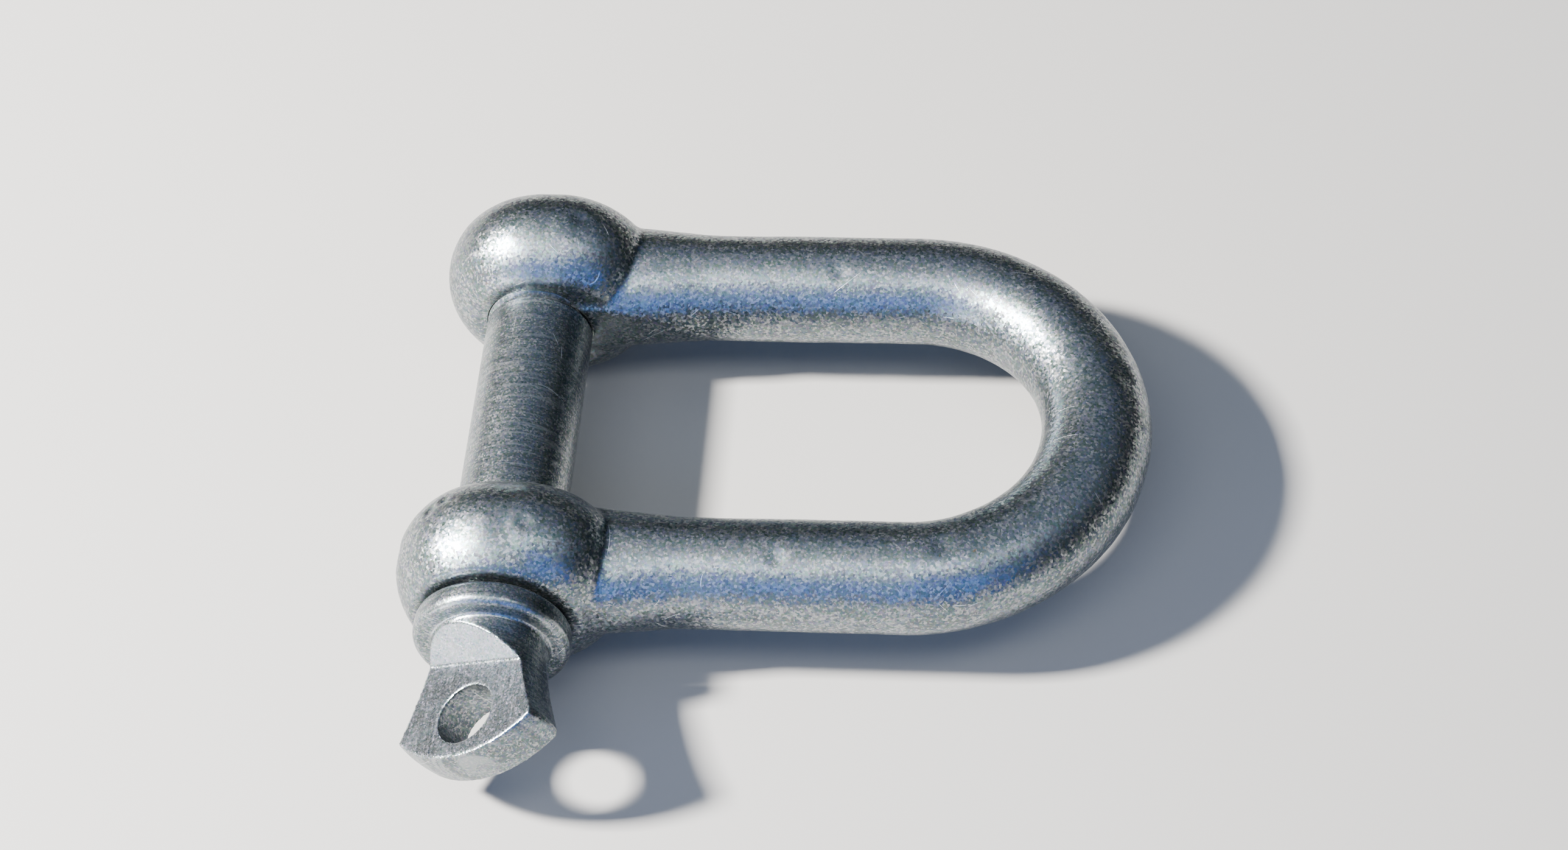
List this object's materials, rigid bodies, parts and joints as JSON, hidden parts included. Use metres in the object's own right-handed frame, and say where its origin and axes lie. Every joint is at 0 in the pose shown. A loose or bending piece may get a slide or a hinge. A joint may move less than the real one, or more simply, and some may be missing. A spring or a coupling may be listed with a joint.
{
  "type": "screw pin dee shackle",
  "caption": "Galvanised screw pin dee shackle: a U of round bar with forged ears, closed by a threaded pin with a collar and an eyed tang.",
  "frame": {"origin": "on the pin's axis, midway between the two ears", "axes": "+X along the legs towards the bow's crown, +Y along the pin from its head to its threaded tip, +Z square to the shackle's plane"},
  "size_m": [0.1071, 0.099, 0.0302],
  "materials": {
    "body_zinc": "galvanised, fine sparkling grain",
    "pin_zinc": "galvanised, smoother, with machined flats"
  },
  "bodies": {
    "body": {"shackle_body": "body_zinc"},
    "pin": {"screw_pin": "pin_zinc"}
  },
  "joints": [
    {"name": "pin_draw", "type": "slide", "parent": "body", "child": "pin", "axis": [0, -1, 0], "range_m": [0, 0.096]}
  ]
}
